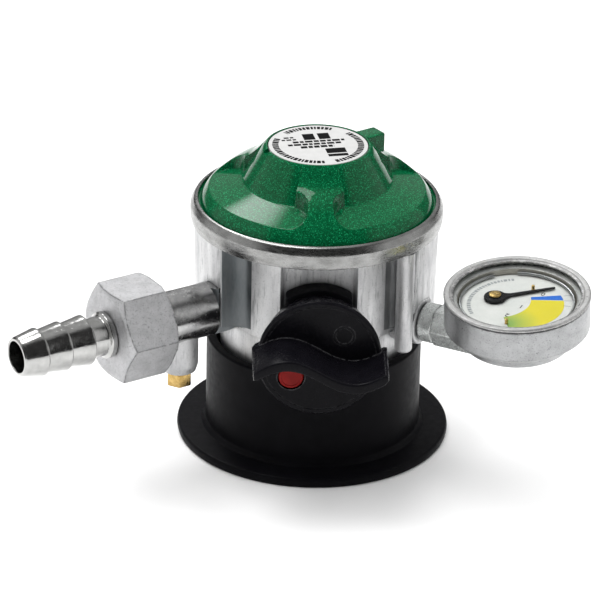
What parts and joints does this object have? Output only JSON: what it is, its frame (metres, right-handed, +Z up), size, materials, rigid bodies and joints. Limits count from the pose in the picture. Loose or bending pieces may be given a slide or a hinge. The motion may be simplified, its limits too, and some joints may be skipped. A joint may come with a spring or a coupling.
{
  "type": "gas cylinder regulator",
  "caption": "Quick-on gas regulator: ribbed domed bonnet on a cast body, lift collar with locking balls, on/off knob, barbed hose outlet and dial pressure gauge.",
  "frame": {"origin": "on the valve socket's axis, level with the underside of the locking collar's flange", "axes": "+Z up along the socket's axis towards the bonnet; -Y towards the knob; +X towards the gauge's side"},
  "size_m": [0.1486, 0.086, 0.0814],
  "materials": {
    "cast_zinc": "satin die-cast",
    "polished_ring": "polished, lightly scratched",
    "bright_nickel": "bright nickel plate",
    "nut_plate": "dull nickel plate",
    "green_flake": "green metallic flake lacquer",
    "label_white": "white printed label",
    "black_satin": "black satin moulding",
    "black_gloss": "black semi-gloss moulding",
    "red_insert": "red moulding",
    "brass": "turned",
    "rubber": "matt",
    "spring_steel": "drawn",
    "gauge_zinc": "zinc plated",
    "dial_white": "printed",
    "lens": "clear",
    "pointer_black": "painted"
  },
  "bodies": {
    "regulator_body": {"body_casting": "cast_zinc", "clamp_ring": "polished_ring", "bonnet": "green_flake", "bonnet_cap": "label_white", "adjusting_nut": "brass", "main_spring": "spring_steel", "diaphragm": "rubber", "inlet_orifice": "brass", "lever_pin": "spring_steel", "plunger_spring": "spring_steel", "plunger_guide": "brass", "socket_seal": "rubber", "retaining_ring": "spring_steel", "collar_spring": "spring_steel", "spindle_gland": "brass", "union_nut": "nut_plate", "hose_nozzle": "bright_nickel", "nozzle_washer": "rubber", "test_plug": "brass", "gauge_stem": "gauge_zinc", "gauge_case": "gauge_zinc", "gauge_bezel": "gauge_zinc", "gauge_lens": "lens", "gauge_snap_ring": "spring_steel", "gauge_dial": "dial_white", "spindle_bracket": "brass", "bourdon_tube": "brass", "zero_stop_pin": "brass", "end_stop_pin": "brass"},
    "collar": {"locking_collar": "black_satin"},
    "knob": {"knob": "black_gloss", "knob_dot": "red_insert", "knob_spindle": "gauge_zinc"},
    "plunger": {"plunger": "brass", "probe_seal": "rubber"},
    "diaphragm_group": {"diaphragm_stem": "gauge_zinc", "spring_plate": "spring_steel"},
    "lever": {"valve_lever": "spring_steel", "valve_seat_pad": "rubber"},
    "gauge_needle": {"gauge_pointer": "pointer_black", "pointer_spindle": "brass"},
    "ball_1": {"locking_ball_1": "spring_steel"},
    "ball_2": {"locking_ball_2": "spring_steel"},
    "ball_3": {"locking_ball_3": "spring_steel"},
    "ball_4": {"locking_ball_4": "spring_steel"}
  },
  "joints": [
    {"name": "collar_lift", "type": "slide", "parent": "regulator_body", "child": "collar", "axis": [0, 0, 1], "range_m": [0, 0.004], "stiffness_N_per_m": 1200, "springref_m": -0.012, "deforming": ["collar_spring"]},
    {"name": "knob_turn", "type": "hinge", "parent": "regulator_body", "child": "knob", "pos_m": [0, -0.0325, 0.038], "axis": [0, 1, 0], "range_deg": [0, 90]},
    {"name": "plunger_slide", "type": "slide", "parent": "regulator_body", "child": "plunger", "axis": [0, 0, 1], "range_m": [-0.003, 0], "stiffness_N_per_m": 300, "springref_m": 0.003, "deforming": ["plunger_spring"]},
    {"name": "diaphragm_slide", "type": "slide", "parent": "regulator_body", "child": "diaphragm_group", "axis": [0, 0, 1], "range_m": [0, 0.0015], "stiffness_N_per_m": 2500, "springref_m": -0.004, "deforming": ["main_spring", "diaphragm"]},
    {"name": "lever_hinge", "type": "hinge", "parent": "regulator_body", "child": "lever", "pos_m": [0, 0.008, 0.054], "axis": [-1, 0, 0], "range_deg": [0, 10.8]},
    {"name": "pointer_turn", "type": "hinge", "parent": "regulator_body", "child": "gauge_needle", "pos_m": [0.04508, -0.02635, 0.05034], "axis": [-0.0482, -0.0869, 0.9951], "range_deg": [-86, 0], "stiffness_Nm_per_rad": 0.0001, "springref_deg": 2.86},
    {"name": "ball_1_slide", "type": "slide", "parent": "regulator_body", "child": "ball_1", "axis": [0.7071, 0.7071, 0], "range_m": [0, 0.0012]},
    {"name": "ball_2_slide", "type": "slide", "parent": "regulator_body", "child": "ball_2", "axis": [-0.7071, 0.7071, 0], "range_m": [0, 0.0012]},
    {"name": "ball_3_slide", "type": "slide", "parent": "regulator_body", "child": "ball_3", "axis": [-0.7071, -0.7071, 0], "range_m": [0, 0.0012]},
    {"name": "ball_4_slide", "type": "slide", "parent": "regulator_body", "child": "ball_4", "axis": [0.7071, -0.7071, 0], "range_m": [0, 0.0012]}
  ],
  "couplings": [
    {"joint": "knob_turn", "follows": "plunger_slide", "rad_per_m": -523.5},
    {"joint": "lever_hinge", "follows": "diaphragm_slide", "rad_per_m": 125},
    {"joint": "ball_1_slide", "follows": "collar_lift", "ratio": 0.3},
    {"joint": "ball_2_slide", "follows": "collar_lift", "ratio": 0.3},
    {"joint": "ball_3_slide", "follows": "collar_lift", "ratio": 0.3},
    {"joint": "ball_4_slide", "follows": "collar_lift", "ratio": 0.3}
  ]
}
